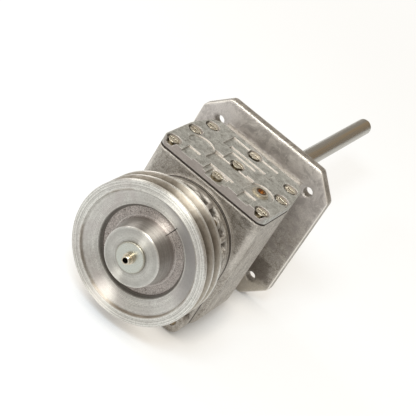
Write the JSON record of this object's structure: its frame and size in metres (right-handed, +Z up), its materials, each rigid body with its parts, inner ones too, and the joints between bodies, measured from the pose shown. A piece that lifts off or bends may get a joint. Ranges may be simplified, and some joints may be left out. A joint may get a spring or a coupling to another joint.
{
  "type": "ice cream maker gearbox",
  "caption": "Cast flanged gearbox with a bolted top cover, a grooved belt pulley on its input and a long plain output shaft, coupled by a coaxial reduction gear train.",
  "frame": {"origin": "on the shaft axis, in the plane of the flange's rear mounting face", "axes": "+Y along the output shaft, away from the pulley; +Z up, out of the top cover; +X across"},
  "size_m": [0.14, 0.4871, 0.144],
  "materials": {
    "cast_housing": "cast, tumbled",
    "cast_cover": "cast",
    "gasket": "matt",
    "plated_screw": "plated",
    "brass_plug": "dull",
    "seal_rubber": "matt",
    "bronze_bush": "machined",
    "turned_pulley": "turned",
    "ground_shaft": "ground",
    "plated_washer": "plated",
    "gear_steel": "machined"
  },
  "bodies": {
    "gear_case": {"housing": "cast_housing", "top_cover": "cast_cover", "top_cover_gasket": "gasket", "cover_screws": "plated_screw", "oil_plug": "brass_plug", "oil_plug_washer": "brass_plug", "end_cover": "cast_housing", "end_cover_gasket": "gasket", "end_cover_screws": "plated_screw", "end_cover_dowels": "gear_steel", "input_bearing_outer_ring": "gear_steel", "input_bearing_balls": "gear_steel", "input_oil_seal": "seal_rubber", "output_bearing_outer_ring": "gear_steel", "output_bearing_balls": "gear_steel", "output_oil_seal": "seal_rubber", "output_bearing_circlip": "gear_steel", "countershaft_front_bush": "bronze_bush", "countershaft_rear_bush": "bronze_bush"},
    "input": {"drive_pulley": "turned_pulley", "input_pinion_shaft": "gear_steel", "pulley_key": "gear_steel", "hub_washer": "plated_washer", "hub_stud": "plated_washer", "input_bearing_inner_ring": "gear_steel", "pulley_spacer": "gear_steel"},
    "countershaft": {"countershaft": "gear_steel", "countershaft_gear": "gear_steel", "countershaft_key": "gear_steel", "countershaft_circlip": "gear_steel"},
    "output": {"output_shaft": "ground_shaft", "output_gear": "gear_steel", "output_key": "gear_steel", "output_gear_circlip": "gear_steel", "pilot_bush": "bronze_bush", "output_bearing_inner_ring": "gear_steel", "output_shaft_circlip": "gear_steel"}
  },
  "joints": [
    {"name": "input_spin", "type": "hinge", "parent": "gear_case", "child": "input", "pos_m": [0, -0.15, 0], "axis": [0, 1, 0], "continuous": true},
    {"name": "countershaft_spin", "type": "hinge", "parent": "gear_case", "child": "countershaft", "pos_m": [0, -0.07, -0.036], "axis": [0, 1, 0], "continuous": true},
    {"name": "output_spin", "type": "hinge", "parent": "gear_case", "child": "output", "pos_m": [0, 0, 0], "axis": [0, 1, 0], "continuous": true}
  ],
  "couplings": [
    {"joint": "countershaft_spin", "follows": "input_spin", "ratio": -0.45455},
    {"joint": "output_spin", "follows": "input_spin", "ratio": 0.20661}
  ]
}
